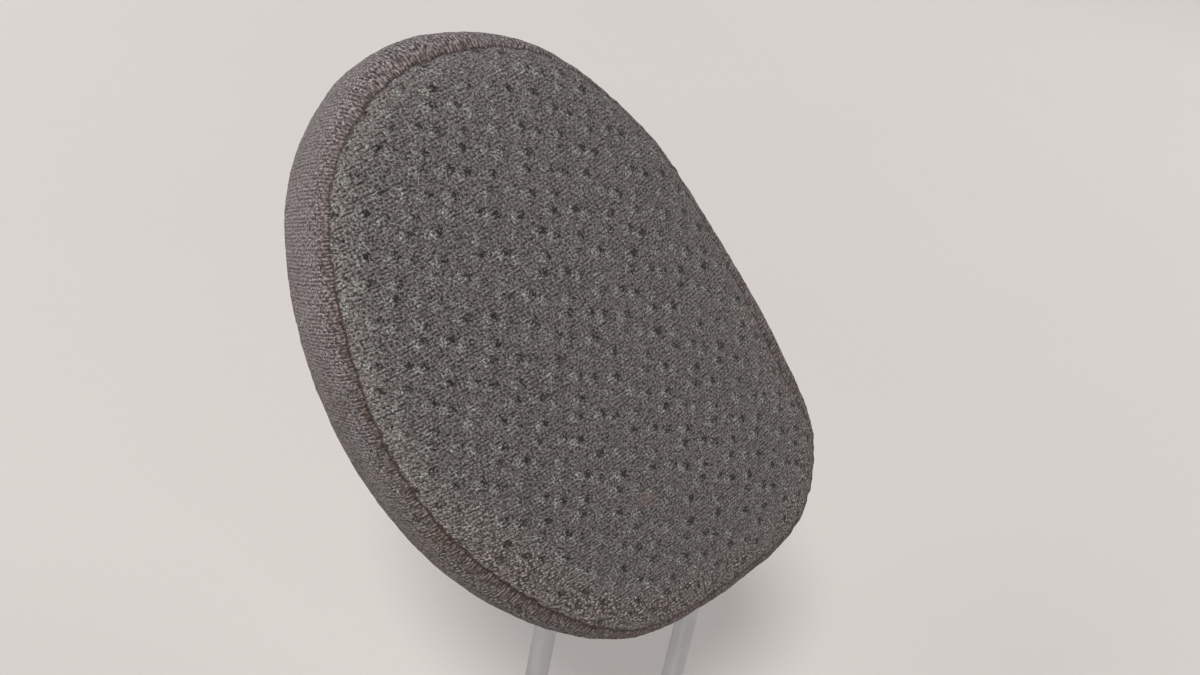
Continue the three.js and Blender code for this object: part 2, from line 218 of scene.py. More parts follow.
class Edge:
    """The front seam as evenly spread points, with the outward direction and the band's bulge at each."""

    def __init__(self, count):
        anchors = np.array(OUTLINE, float)
        curve = np.vstack([self.span(np.roll(anchors, 1 - i, axis=0)[:4]) for i in range(len(anchors))])
        curve = np.vstack([curve, curve[:1]])
        run = np.r_[0, np.cumsum(np.linalg.norm(np.diff(curve, axis=0), axis=1))]
        self.length = run[-1]
        self.at = np.linspace(0, self.length, count, endpoint=False)
        spread = np.stack([np.interp(self.at, run, curve[:, k]) for k in range(3)], axis=1)
        self.points, self.bulge = spread[:, :2], spread[:, 2]
        tangent = np.roll(self.points, -1, axis=0) - np.roll(self.points, 1, axis=0)
        tangent /= np.linalg.norm(tangent, axis=1)[:, None]
        self.normals = np.stack([-tangent[:, 1], tangent[:, 0]], axis=1)
        if (self.normals * self.points).sum() < 0:
            self.normals = -self.normals

    def span(self, anchors, steps=60):
        """The curve from the second of four anchors to the third, as a centripetal spline."""
        a, b, c, d = anchors
        t0 = 0.0
        t1 = t0 + np.linalg.norm(b - a) ** 0.5
        t2 = t1 + np.linalg.norm(c - b) ** 0.5
        t3 = t2 + np.linalg.norm(d - c) ** 0.5
        t = np.linspace(t1, t2, steps, endpoint=False)[:, None]
        ab = (t1 - t) / (t1 - t0) * a + (t - t0) / (t1 - t0) * b
        bc = (t2 - t) / (t2 - t1) * b + (t - t1) / (t2 - t1) * c
        cd = (t3 - t) / (t3 - t2) * c + (t - t2) / (t3 - t2) * d
        abc = (t2 - t) / (t2 - t0) * ab + (t - t0) / (t2 - t0) * bc
        bcd = (t3 - t) / (t3 - t1) * bc + (t - t1) / (t3 - t1) * cd
        return (t2 - t) / (t2 - t1) * abc + (t - t1) / (t2 - t1) * bcd

    def ordered(self, order):
        """The same edge, its points taken in another order."""
        other = Edge.__new__(Edge)
        other.points, other.normals = self.points[order], self.normals[order]
        other.bulge, other.at, other.length = self.bulge[order], self.at[order], self.length
        return other

    def ring(self, offset, share, depth):
        """One ring of the pad in its own axes (across, depth, along)."""
        flat = (self.points + self.normals * np.broadcast_to(offset, len(self.at))[:, None]) * share
        return np.stack([flat[:, 0], np.broadcast_to(depth, len(flat)), flat[:, 1]], axis=1)

    def band_offset(self, share):
        """How far the band stands out at a share of the way from the front seam to the back one."""
        swell = 1 - abs(2 * share - 1) ** BAND_SWELL_POWER
        crown = BAND_CROWN * (1 - (2 * share - 1) ** 2)
        return (SEAM_GROOVE + self.bulge) * swell + crown - SEAM_GROOVE - BACK_INSET * share


def panel_rise(crown, share):
    """How far a panel stands out of its seam's plane, at a share of the way from its middle to the seam."""
    return crown * (1 - share**2) + EDGE_PUFF * (1 - share**EDGE_PUFF_POWER)


def mesh_object(name, vertices, faces):
    mesh = bpy.data.meshes.new(name)
    mesh.from_pydata([tuple(v) for v in vertices], [], faces)
    mesh.update()
    piece = bpy.data.objects.new(name, mesh)
    bpy.context.scene.collection.objects.link(piece)
    return piece


def ring_faces(count, sectors, closed=True):
    """Quads between rings that lie one after another in a vertex list."""
    faces = []
    last = sectors if closed else sectors - 1
    for r in range(count - 1):
        for s in range(last):
            t = (s + 1) % sectors
            faces.append((r * sectors + s, r * sectors + t, (r + 1) * sectors + t, (r + 1) * sectors + s))
    return faces


def capped_faces(count, sectors):
    """The same quads, with one more face across each end."""
    faces = ring_faces(count, sectors)
    faces.append(tuple(range(sectors)))
    faces.append(tuple((count - 1) * sectors + s for s in range(sectors)))
    return faces


def vectors_of(piece, name):
    """A vector of each vertex of a piece, its place (co) or its normal, as rows."""
    flat = np.empty(len(piece.data.vertices) * 3)
    piece.data.vertices.foreach_get(name, flat)
    return flat.reshape(-1, 3)


def search_tree(points):
    """A tree that finds the nearest of the points, with its number and distance."""
    tree = kdtree.KDTree(len(points))
    for i, point in enumerate(points):
        tree.insert(point, i)
    tree.balance()
    return tree


def outward(piece):
    """Turns a closed or domed piece's faces the same way, away from the pad's middle."""
    made = bmesh.new()
    made.from_mesh(piece.data)
    bmesh.ops.recalc_face_normals(made, faces=made.faces)
    centre = Vector(PAD_CENTRE) * MM
    votes = sum(f.calc_area() * f.normal.dot(f.calc_center_median() - centre) for f in made.faces)
    if votes < 0:
        bmesh.ops.reverse_faces(made, faces=made.faces)
    made.to_mesh(piece.data)
    made.free()


def apply_modifiers(piece):
    """Replaces a piece's mesh by what its modifiers make of it."""
    graph = bpy.context.evaluated_depsgraph_get()
    made = bpy.data.meshes.new_from_object(piece.evaluated_get(graph))
    old = piece.data
    piece.modifiers.clear()
    piece.data = made
    bpy.data.meshes.remove(old)


def pad_form():
    """The stuffed pad before it swells: a closed, evenly meshed form a little inside the cover."""
    edge = Edge(COARSE_SECTORS)
    half = HALF_BAND - FORM_INSET
    front_offset = -SEAM_GROOVE - FORM_INSET
    back_offset = -SEAM_GROOVE - BACK_INSET - FORM_INSET
    rings = []
    for share in FORM_PANEL_SHARES:
        rings.append(edge.ring(front_offset, share, -half - panel_rise(FRONT_CROWN, share)))
    for share in FORM_BAND_SHARES:
        rings.append(edge.ring(edge.band_offset(share) - FORM_INSET, 1, (2 * share - 1) * half))
    for share in reversed(FORM_PANEL_SHARES):
        rings.append(edge.ring(back_offset, share, half + panel_rise(BACK_CROWN, share)))
    form = mesh_object("pad_form", to_frame(np.vstack(rings)), capped_faces(len(rings), COARSE_SECTORS))
    outward(form)
    remesh = form.modifiers.new("even", "REMESH")
    remesh.mode = "VOXEL"
    remesh.voxel_size = VOXEL * MM
    apply_modifiers(form)
    return form


def seam_points():
    """Points along both seams, in metres."""
    edge = Edge(COARSE_SECTORS * 2)
    front = edge.ring(-SEAM_GROOVE, 1, -HALF_BAND)
    back = edge.ring(-SEAM_GROOVE - BACK_INSET, 1, HALF_BAND)
    return to_frame(np.vstack([front, back]))


def sew_down(form, rest):
    """Marks how firmly each of the form's points is held: fully at a seam, and less and less away from it."""
    seams = search_tree(seam_points())
    sewn = form.vertex_groups.new(name="sewn")
    held, free = HELD_WITHIN * MM, FREE_BEYOND * MM
    for i, point in enumerate(rest):
        distance = seams.find(point)[2]
        weight = min(max((free - distance) / (free - held), 0.0), 1.0)
        if weight > 0:
            sewn.add([i], weight, "REPLACE")


def simulated(form, rest):
    """How each of the form's points moves in a cloth simulation in which the foam presses on the cover."""
    sew_down(form, rest)
    cloth = form.modifiers.new("cloth", "CLOTH")
    cloth.settings.quality = CLOTH_QUALITY
    cloth.settings.mass = CLOTH_MASS
    cloth.settings.tension_stiffness = CLOTH_STIFFNESS
    cloth.settings.compression_stiffness = CLOTH_STIFFNESS
    cloth.settings.bending_stiffness = CLOTH_BENDING
    cloth.settings.use_pressure = True
    cloth.settings.uniform_pressure_force = FOAM_PRESSURE
    cloth.settings.vertex_group_mass = "sewn"
    cloth.settings.effector_weights.gravity = 0
    cloth.collision_settings.use_collision = False
    scene = bpy.context.scene
    for number in range(1, CLOTH_FRAMES + 1):
        scene.frame_set(number)
    graph = bpy.context.evaluated_depsgraph_get()
    moved = vectors_of(form.evaluated_get(graph), "co") - rest
    scene.frame_set(1)
    return moved


def kept_out(form, moved):
    """The same movement without its inward part: the foam keeps the cover from sinking in."""
    normals = vectors_of(form, "normal")
    inward = np.minimum((moved * normals).sum(axis=1), 0)
    return moved - normals * inward[:, None]


def swell():
    """How the cover moves when the foam fills it: a tree of the form's points, and each one's movement.
    """
    form = pad_form()
    rest = vectors_of(form, "co")
    moved = np.zeros_like(rest)
    moved = kept_out(form, simulated(form, rest))
    length = np.linalg.norm(moved, axis=1)[:, None]
    moved *= np.minimum(1, MOST_SWELL * MM / np.maximum(length, 1e-9))
    bpy.data.objects.remove(form)
    return search_tree(rest), moved


def swollen(points, swelling):
    """Cover points, in metres, moved as the form near them moved on the whole."""
    tree, moved = swelling
    if not moved.any():
        return points
    result = points.copy()
    reach = SWELL_REACH * MM
    for i, point in enumerate(points):
        found = tree.find_n(point, SWELL_NEIGHBOURS)
        weights = np.array([math.exp(-((distance / reach) ** 2)) + 1e-6 for _, _, distance in found])
        result[i] += weights @ moved[[index for _, index, _ in found]] / weights.sum()
    return result


def ripple(at, perimeter, waves, seed):
    """A wavy value along a closed seam, near -1 to 1, made of waves that fit its length."""
    phases = np.random.default_rng(seed).uniform(0, 2 * np.pi, len(waves))
    value = sum(
        np.sin(2 * np.pi * round(perimeter / length) * at / perimeter + phase)
        for length, phase in zip(waves, phases)
    )
    return value / math.sqrt(len(waves))


def grain(points, size, seed):
    """A random field in space, near -1 to 1, with lumps of about the given size, in millimetres."""
    source = np.random.default_rng(seed)
    heading = source.normal(size=(LUMP_DIRECTIONS, 3))
    heading /= np.linalg.norm(heading, axis=1)[:, None]
    spread = source.uniform(*LUMP_SPREAD, LUMP_DIRECTIONS)
    phase = source.uniform(0, 2 * np.pi, LUMP_DIRECTIONS)
    steps = points @ (heading * (2 * np.pi / size * spread)[:, None]).T + phase
    return np.sin(steps).sum(axis=1) / math.sqrt(LUMP_DIRECTIONS / 2)


def smooth(value):
    """0 to 1, with an easy start and end."""
    value = np.clip(value, 0, 1)
    return value * value * (3 - 2 * value)


def fading(seam, reach):
    """1 on a seam, falling to 0 over about twice the reach."""
    return np.exp(-((seam / reach) ** 2))


def cover_relief(rest, at, seam, length, seed):
    """How far the cover's points stand out: the seam's puckers and valley, and the cloth's lumps, in mm."""
    pucker = ripple(at, length, PUCKER_WAVES, seed)
    strength = PUCKER_MEAN + PUCKER_CHANGE * ripple(at, length, PUCKER_CHANGE_WAVES, seed + 1)
    near = smooth(seam / FLAT_REACH)
    valley = -VALLEY_DEPTH * fading(seam, VALLEY_REACH)
    lumps = sum(height * grain(rest, size, seed + 2 + i) for i, (size, height) in enumerate(LUMPS))
    return valley + PUCKER_HEIGHT * strength * pucker * fading(seam, SEAM_REACH) * near + lumps * near


def wobble(edge, seam, seed):
    """How far the cover beside a seam strays with the seam's line from its smooth course, in millimetres."""
    return STRAY_WIDTH * ripple(edge.at, edge.length, STRAY_WAVES, seed) * fading(seam, SEAM_REACH)


def seam_rings(far, close_steps, far_steps):
    """Distances from a seam: close together beside it and wider apart further off."""
    close = np.linspace(0, CLOSE_TO_SEAM, close_steps)
    rest = np.linspace(CLOSE_TO_SEAM, far, far_steps + 1)[1:]
    return np.concatenate([close, rest])


def layer():
    """How far inside the cover its fine mesh starts, as the form does; the swelling pushes it out again."""
    return FORM_INSET


def cover_piece(name, flat, faces, cloth, at, edge, swelling, seed):
    """A piece of the cover from its points in the pad's axes, swollen and with its fine relief.

    cloth holds each point's place on its cloth and its distance from the nearest seam, for the materials.
    """
    piece = mesh_object(name, swollen(to_frame(flat), swelling), faces)
    attribute = piece.data.attributes.new("cloth", "FLOAT_VECTOR", "POINT")
    attribute.data.foreach_set("vector", np.asarray(cloth, np.float32).ravel())
    outward(piece)
    relief = cover_relief(flat, at, cloth[:, 2], edge.length, seed)
    points = vectors_of(piece, "co") + vectors_of(piece, "normal") * (relief * MM)[:, None]
    piece.data.vertices.foreach_set("co", points.ravel())
    piece.data.update()
    piece.data.shade_smooth()
    return piece


def rim_stretch(shares, radius):
    """How much further out the cloth's own coordinates run where a panel turns down to its seam."""
    inner = shares[::-1]
    fall = EDGE_PUFF * np.abs(np.diff(inner**EDGE_PUFF_POWER))
    step = radius * np.diff(inner)
    extra = np.r_[0, np.cumsum(np.hypot(fall, step) - step)]
    return (extra / radius)[::-1]


def panel(name, side, swelling, seed):
    """The front or back panel: a crowned dome that ends in its seam. side is -1 in front, 1 behind."""
    edge = Edge(SECTORS)
    crown = FRONT_CROWN if side < 0 else BACK_CROWN
    inset = SEAM_GROOVE + layer() + (0 if side < 0 else BACK_INSET)
    radius = np.linalg.norm(edge.points, axis=1)
    distances = seam_rings(PANEL_REACH, *PANEL_RINGS)
    shares = 1 - distances / PANEL_REACH * PANEL_DRAWN_SHARE
    rings, seams = [], []
    for distance, share in zip(distances, shares):
        offset = wobble(edge, distance, seed) - inset
        rings.append(edge.ring(offset, share, side * (HALF_BAND - layer() + panel_rise(crown, share))))
        seams.append(radius * (1 - share))
    faces = ring_faces(len(rings), SECTORS)
    start, middle = (len(rings) - 1) * SECTORS, len(rings) * SECTORS
    faces += [(start + s, start + (s + 1) % SECTORS, middle) for s in range(SECTORS)]
    flat = np.vstack(rings)
    stretch = np.repeat(rim_stretch(shares, radius.mean()), SECTORS)[:, None]
    place = np.vstack([flat[:, (0, 2)] * (1 + stretch), [[0, 0]]])
    flat = np.vstack([flat, flat[-SECTORS:].mean(axis=0)])
    cloth = np.column_stack([place, np.append(np.concatenate(seams), radius.mean())])
    at = np.append(np.tile(edge.at, len(rings)), 0)
    return cover_piece(name, flat, faces, cloth, at, edge, swelling, seed)


def strip_lumps(edge, depth):
    """How far the ends of the closure's strips press the band out, in millimetres."""
    lump = np.zeros(len(edge.points))
    for across, place, height in STRIP_ENDS:
        away = np.hypot(edge.points[:, 0] - across, depth - place)
        lump += height * np.exp(-((away / STRIP_LUMP_REACH) ** 2))
    return np.where(edge.points[:, 1] < 0, lump, 0)


def side_band(name, swelling):
    """The band between the two seams: one strip, its ends sewn together below."""
    edge = Edge(SECTORS)
    join = int(np.argmin(edge.points[:, 1]))
    edge = edge.ordered((np.arange(SECTORS + 1) + join) % SECTORS)
    half = seam_rings(HALF_BAND, *BAND_RINGS)
    depths = np.concatenate([half - HALF_BAND, (HALF_BAND - half)[::-1][1:]])
    rings, seams = [], []
    for depth in depths:
        share = (depth + HALF_BAND) / (2 * HALF_BAND)
        seam = HALF_BAND - abs(depth)
        stray = wobble(edge, seam, FRONT_SEED if depth < 0 else BACK_SEED)
        offset = edge.band_offset(share) - layer() + stray + strip_lumps(edge, depth)
        rings.append(edge.ring(offset, 1, depth * (1 - layer() / HALF_BAND)))
        seams.append(np.full(SECTORS + 1, seam))
    flat = np.vstack(rings)
    run = np.tile(np.linspace(0, edge.length, SECTORS + 1), len(rings))
    cloth = np.stack([run, flat[:, 1], np.concatenate(seams)], axis=1)
    faces = ring_faces(len(rings), SECTORS + 1, closed=False)
    at = np.tile(edge.at, len(rings))
    return cover_piece(name, flat, faces, cloth, at, edge, swelling, FRONT_SEED)


def rounded(corners, radii, steps=12):
    """A path whose corners are replaced by arcs."""
    path = [Vector(corners[0])]
    for i, radius in enumerate(radii, start=1):
        corner = Vector(corners[i])
        into = (Vector(corners[i - 1]) - corner).normalized()
        out = (Vector(corners[i + 1]) - corner).normalized()
        half = into.angle(out) / 2
        centre = corner + (into + out).normalized() * (radius / math.sin(half))
        start = corner + into * (radius / math.tan(half)) - centre
        end = corner + out * (radius / math.tan(half)) - centre
        axis = start.cross(end).normalized()
        for s in range(steps + 1):
            path.append(centre + Matrix.Rotation(start.angle(end) * s / steps, 3, axis) @ start)
    path.append(Vector(corners[-1]))
    return path


def rod_path():
    """The rod's middle line: up the left post, across inside the pad, and down the right post."""
    left = Vector((-HALF_SPACING, 0, BEND_HEIGHT))
    right = Vector((HALF_SPACING, 0, BEND_HEIGHT))
    rise = Vector((0, math.sin(PAD_TILT), math.cos(PAD_TILT))) * ROD_RISE_IN_PAD
    corners = [(-HALF_SPACING, 0, 0), left, left + rise, right + rise, right, (HALF_SPACING, 0, 0)]
    return rounded(corners, (POST_BEND_RADIUS, ROD_CORNER_RADIUS, ROD_CORNER_RADIUS, POST_BEND_RADIUS))


def rod_stations():
    """Where the rod's rings lie along its middle line, and whether a height notch cuts each one."""
    notches = []
    for i in range(NOTCH_COUNT):
        middle = NOTCH_FIRST_HEIGHT + i * NOTCH_PITCH
        low, high = middle - NOTCH_WIDTH / 2, middle + NOTCH_WIDTH / 2
        notches += [(low, False), (low, True), (high, True), (high, False)]
    path = rod_path()
    stations = [(path[0], False), (Vector((-HALF_SPACING, 0, TIP_CHAMFER)), False)]
    stations += [(point, False) for point in path[1:-1]]
    stations += [(Vector((HALF_SPACING, 0, z)), cut) for z, cut in reversed(notches)]
    stations += [(Vector((HALF_SPACING, 0, TIP_CHAMFER)), False), (path[-1], False)]
    return stations


def rod_ring(point, side, other, radius, cut):
    """One ring round the rod, flat on the right post's outer side where a notch cuts it."""
    ring = []
    for s in range(ROD_SIDES):
        angle = 2 * math.pi * s / ROD_SIDES
        place = point + (side * math.cos(angle) + other * math.sin(angle)) * radius
        if cut:
            place.x = min(place.x, HALF_SPACING + ROD_RADIUS - NOTCH_DEPTH)
        ring.append(place * MM)
    return ring


def rod(name):
    """The bent rod: two posts with chamfered tips, height notches in one, and the crossbar."""
    stations = rod_stations()
    last = len(stations) - 1
    side = Vector((0, 1, 0))
    vertices = []
    for i, (point, cut) in enumerate(stations):
        tangent = stations[min(i + 1, last)][0] - stations[max(i - 1, 0)][0]
        tangent = tangent.normalized() if tangent.length > SAME_PLACE else Vector((0, 0, -1))
        side = (side - tangent * side.dot(tangent)).normalized()
        radius = ROD_RADIUS - (TIP_CHAMFER if i in (0, last) else 0)
        vertices += rod_ring(point, side, tangent.cross(side), radius, cut)
    piece = mesh_object(name, vertices, capped_faces(len(stations), ROD_SIDES))
    made = bmesh.new()
    made.from_mesh(piece.data)
    bmesh.ops.remove_doubles(made, verts=made.verts, dist=SAME_PLACE)
    bmesh.ops.recalc_face_normals(made, faces=made.faces)
    made.to_mesh(piece.data)
    made.free()
    piece.data.shade_smooth()
    piece.data.set_sharp_from_angle(angle=ROD_SHARP_ANGLE)
    return piece


def rgb(red, green, blue):
    """A colour given in the photograph's 0 to 255 values, as the linear colour that a shader takes."""
    linear = [((v / 255 + 0.055) / 1.055) ** 2.4 for v in (red, green, blue)]
    return (*linear, 1.0)


# The colours of the face, from its yarns to what soils it.
FACE_GREYS = rgb(107, 102, 100), rgb(105, 101, 99)
TUFT_PALE = rgb(134, 135, 130)
FLECK_DARK = rgb(66, 66, 64)
LOOSE_PALE = rgb(158, 147, 141)
RUBBED_PALE = rgb(148, 142, 135)
# Painted shade between the face's loops.
FACE_GAP_SHADE = rgb(27, 25, 24)
FACE_PIT = rgb(18, 19, 19)
# Painted shade between the nubs.
NUB_GAP_SHADE = rgb(36, 32, 31)
STAIN_BROWN = rgb(112, 88, 74)
DIRT_BROWN = rgb(122, 102, 76)

# The colours of the band and the back.
BAND_GREYS = rgb(122, 113, 112), rgb(117, 110, 108)
# Painted shade for the lower band and back.
BAND_LOW_SHADE = rgb(102, 97, 93)
BAND_BROWN = rgb(104, 86, 72)
# Painted shade between the band's loops.
BAND_GAP_SHADE = rgb(33, 27, 28)
BAND_PIT = rgb(34, 28, 29)
BAND_RUSTY = rgb(92, 74, 69)

# The other colours. A pair is the two ends of a mix.
STITCH_DARK = rgb(46, 34, 31)
SHEEN_TINT = rgb(205, 195, 195)
PLATING = rgb(164, 166, 168), rgb(182, 184, 186)
BARE_STEEL = rgb(120, 121, 122), rgb(152, 152, 150)
FOAM_CREAM = rgb(214, 200, 158), rgb(226, 214, 178)
STRIP_BLACK = rgb(30, 30, 32), rgb(44, 44, 46)
# The floor with painted shade near the pad and painted light further off.
FLOOR_SHADED_NEAR_LIT_FAR = rgb(204, 198, 193), rgb(234, 228, 223)
SURROUNDINGS = rgb(224, 218, 213)


class Nodes:
    """Builds the node tree of a material or of the world with short calls."""

    def __init__(self, owner):
        owner.use_nodes = True
        self.owner = owner
        self.tree = owner.node_tree
        self.shader = next(n for n in self.tree.nodes if n.type in ("BSDF_PRINCIPLED", "BACKGROUND"))

    def add(self, kind, inputs=(), **settings):
        node = self.tree.nodes.new(kind)
        for key, value in settings.items():
            setattr(node, key, value)
        for key, value in dict(inputs).items():
            self.feed(node.inputs[key], value)
        return node

    def feed(self, socket, value):
        if isinstance(value, bpy.types.NodeSocket):
            self.tree.links.new(value, socket)
        else:
            socket.default_value = value

    def set(self, **values):
        """Feeds the shader's own inputs, named with underscores for spaces."""
        for key, value in values.items():
            self.feed(self.shader.inputs[key.replace("_", " ")], value)

    def cloth_place(self):
        """The place on the cloth, and the distance from the seam as its third value."""
        return self.add("ShaderNodeAttribute", attribute_name="cloth").outputs["Vector"]

    def object_place(self):
        return self.add("ShaderNodeTexCoord").outputs["Object"]

    def math(self, operation, a, b=0.0):
        return self.add("ShaderNodeMath", {0: a, 1: b}, operation=operation).outputs[0]

    def plus(self, a, b):
        return self.math("ADD", a, b)

    def minus(self, a, b):
        return self.math("SUBTRACT", a, b)

    def times(self, a, b):
        return self.math("MULTIPLY", a, b)

    def over(self, a, b):
        return self.math("DIVIDE", a, b)

    def vector(self, operation, a, b=(0, 0, 0)):
        return self.add("ShaderNodeVectorMath", {0: a, 1: b}, operation=operation)

    def dot(self, a, b):
        return self.vector("DOT_PRODUCT", a, b).outputs["Value"]

    def join(self, x, y, z=0.0):
        return self.add("ShaderNodeCombineXYZ", {0: x, 1: y, 2: z}).outputs[0]

    def parts(self, vector):
        return self.add("ShaderNodeSeparateXYZ", {0: vector}).outputs[:3]

    def channel(self, colour, index):
        return self.add("ShaderNodeSeparateColor", {0: colour}).outputs[index]

    def grey(self, value):
        return self.add("ShaderNodeCombineColor", {0: value, 1: value, 2: value}).outputs[0]

    def move(self, vector, scale=(1, 1, 1), shift=(0, 0, 0)):
        return self.add("ShaderNodeMapping", {"Vector": vector, "Scale": scale, "Location": shift}).outputs[0]

    def noise(self, vector, scale, detail=2.0, roughness=0.5):
        inputs = {"Vector": vector, "Scale": scale, "Detail": detail, "Roughness": roughness}
        return self.add("ShaderNodeTexNoise", inputs).outputs["Fac"]

    def cells(self, vector, scale, randomness):
        """A pattern of cells: how far the nearest one's middle is, and a random colour for it."""
        inputs = {"Vector": vector, "Scale": scale, "Randomness": randomness}
        node = self.add("ShaderNodeTexVoronoi", inputs, voronoi_dimensions="2D")
        return node.outputs["Distance"], node.outputs["Color"]

    def span(self, value, low, high, to_low=0.0, to_high=1.0):
        """Maps low to high smoothly onto another span, and keeps what lies outside at its ends."""
        inputs = {"Value": value, "From Min": low, "From Max": high, "To Min": to_low, "To Max": to_high}
        return self.add("ShaderNodeMapRange", inputs, interpolation_type="SMOOTHSTEP").outputs[0]

    def mix(self, factor, a, b, blend="MIX"):
        """Two colours mixed. The sockets 0, 6 and 7 are the factor and the colours."""
        node = self.add("ShaderNodeMix", {0: factor}, data_type="RGBA", blend_type=blend)
        self.feed(node.inputs[6], a)
        self.feed(node.inputs[7], b)
        return node.outputs[2]

    def blend(self, factor, a, b):
        """Two numbers mixed. The sockets 0, 2 and 3 are the factor and the numbers."""
        return self.add("ShaderNodeMix", {0: factor, 2: a, 3: b}).outputs[0]

    def bump(self, height, distance, strength=1.0):
        inputs = {"Height": height, "Distance": distance, "Strength": strength}
        return self.add("ShaderNodeBump", inputs).outputs[0]


def material_nodes(name):
    return Nodes(bpy.data.materials.new(name))


def repeats(nodes, place):
    """The cloth's own coordinates on the front: how many repeats across, and how many along."""
    (a, b), (c, d), (x, y) = REPEAT_ACROSS, REPEAT_ALONG, REPEAT_START
    area = a * d - b * c
    across = nodes.dot(place, (d / area, -c / area, 0))
    along = nodes.dot(place, (-b / area, a / area, 0))
    return nodes.minus(across, (x * d - y * c) / area), nodes.minus(along, (y * a - x * b) / area)


def oval(nodes, across, along, half):
    """How near a place is to the middle of an oval: 1 inside, falling to 0 at its soft edge."""
    x = nodes.over(across, half[0])
    y = nodes.over(along, half[1])
    return nodes.span(nodes.plus(nodes.times(x, x), nodes.times(y, y)), 1.5, 0.35)


def tufts(nodes, across, along, straying):
    """The pattern of the front's cloth: pale tufts, and the dark flecks at their sides."""
    pale, dark = 0.0, 0.0
    wide, high = math.hypot(*REPEAT_ACROSS), math.hypot(*REPEAT_ALONG)
    for number, (u, v) in enumerate(TUFTS):
        x = nodes.plus(across, 0.5 - u)
        y = nodes.plus(along, 0.5 - v)
        here = nodes.join(nodes.math("FLOOR", x), nodes.math("FLOOR", y), number)
        luck = nodes.add("ShaderNodeTexWhiteNoise", {"Vector": here}, noise_dimensions="3D").outputs["Color"]
        tuft_luck = nodes.span(nodes.channel(luck, 0), 0.0, 1.0, 0.55, 1.0)
        fleck_luck = nodes.span(nodes.channel(luck, 1), 0.0, 1.0, 0.3, 1.0)
        x = nodes.times(nodes.minus(nodes.math("FRACT", x), 0.5), wide)
        y = nodes.times(nodes.minus(nodes.math("FRACT", y), 0.5), high)
        x = nodes.plus(x, straying)
        aside = nodes.minus(x, FLECK_SHIFT[0])
        below = nodes.minus(y, FLECK_SHIFT[1])
        tuft = nodes.times(oval(nodes, x, y, TUFT_HALF), tuft_luck)
        fleck = nodes.times(oval(nodes, aside, below, FLECK_HALF), fleck_luck)
        pale = nodes.math("MAXIMUM", pale, tuft)
        dark = nodes.math("MAXIMUM", dark, fleck)
    return pale, dark


def knit(nodes, across, courses, loop, rib):
    """Knitted loops: their height, a chance for each one, and fine dark strokes between the fibres.

    across runs along a course in millimetres and courses counts the courses. loop is a loop's length,
    and rib is how deep the valleys between the courses are.
    """
    place = nodes.join(nodes.over(across, loop), courses)
    bend = nodes.add("ShaderNodeTexNoise", {"Vector": place, "Scale": 1.1, "Detail": 1.0}).outputs["Color"]
    bend = nodes.move(bend, (LOOP_BEND, LOOP_BEND, 0), (-LOOP_BEND / 2, -LOOP_BEND / 2, 0))
    bent = nodes.vector("ADD", place, bend).outputs[0]
    distance, colour = nodes.cells(bent, 1.25, 0.85)
    strokes = nodes.noise(bent, 1.6, 3.0, 0.9)
    course = nodes.math("ABSOLUTE", nodes.minus(nodes.math("FRACT", courses), 0.5))
    height = nodes.times(nodes.span(distance, 0.75, 0.15), 0.75)
    height = nodes.minus(height, nodes.times(course, rib))
    return nodes.plus(height, 0.25), nodes.channel(colour, 0), strokes


def yarn(nodes, base, height, strokes, chance, gap_shade, tones):
    """Shades a cloth's colour loop by loop: painted shade between the loops, and darker strokes under the
    fibres.
    """
    lift = nodes.span(chance, 0.0, 1.0, 0.85, 1.15)
    lift = nodes.times(lift, nodes.span(strokes, 0.38, 0.62, *tones))
    base = nodes.mix(1.0, base, nodes.grey(lift), "MULTIPLY")
    # Painted shade where the loops are low, between them.
    return nodes.mix(nodes.span(height, -0.3, 0.5, 0.9, 0.0), base, gap_shade)


def dark_strokes(nodes, chance, strokes, extra):
    """Where a loop is missing or turned away, so that the cloth looks black there."""
    shade = nodes.times(nodes.minus(0.6, strokes), 2.2)
    total = nodes.plus(nodes.times(chance, 0.8), shade)
    return nodes.span(nodes.plus(total, extra), 1.02, 1.18)


def nubs(nodes, place, seam):
    """Looser, rounder loops towards the lower seam: how much of them there is, and their height."""
    low = nodes.span(nodes.parts(place)[1], 0.0, -70.0)
    beside = nodes.times(nodes.span(seam, 27.0, 9.0), nodes.plus(low, 0.1))
    ragged = nodes.span(nodes.noise(place, 0.12, 3.0, 0.6), 0.33, 0.55)
    amount = nodes.math("MINIMUM", nodes.times(beside, ragged), 1.0)
    distance, _ = nodes.cells(nodes.move(place, (1 / NUB_SIZE, 1 / NUB_SIZE, 1)), 1.0, 0.9)
    return amount, nodes.span(distance, 0.6, 0.15)


def stitch_line(nodes, seam, strokes, base):
    """The sewn line itself: dark and slightly rusty, with ragged edges."""
    ragged = nodes.plus(seam, nodes.span(strokes, 0.3, 0.7, -0.5, 0.5))
    return nodes.mix(nodes.span(ragged, 0.9, 0.2, 0.0, 0.75), base, STITCH_DARK)


def stain(nodes, place, base):
    """The brown stain on the face, ragged at its edge."""
    across, along, _ = nodes.parts(place)
    spot = oval(nodes, nodes.minus(across, STAIN_AT[0]), nodes.minus(along, STAIN_AT[1]), STAIN_HALF)
    ragged = nodes.span(nodes.noise(place, 0.6, 3.0, 0.6), 0.35, 0.6)
    return nodes.mix(nodes.times(nodes.times(spot, ragged), 0.6), base, STAIN_BROWN)


def rubbed_seam(nodes, across, seam, base):
    """Paler, rubbed cloth beside the face's seam, most of it on the left."""
    left = nodes.span(across, 20.0, -30.0, 0.25, 1.0)
    rubbed = nodes.times(left, nodes.span(seam, 10.0, 2.0, 0.0, 0.28))
    return nodes.mix(rubbed, base, RUBBED_PALE)


def seam_dirt(nodes, place, seam, base):
    """Brown specks that lie in the cloth beside the face's seam."""
    specks = nodes.span(nodes.noise(place, 0.35, 4.0), 0.56, 0.7)
    dirt = nodes.times(nodes.span(seam, 12.0, 1.0), specks)
    return nodes.mix(nodes.times(dirt, 0.45), base, DIRT_BROWN)


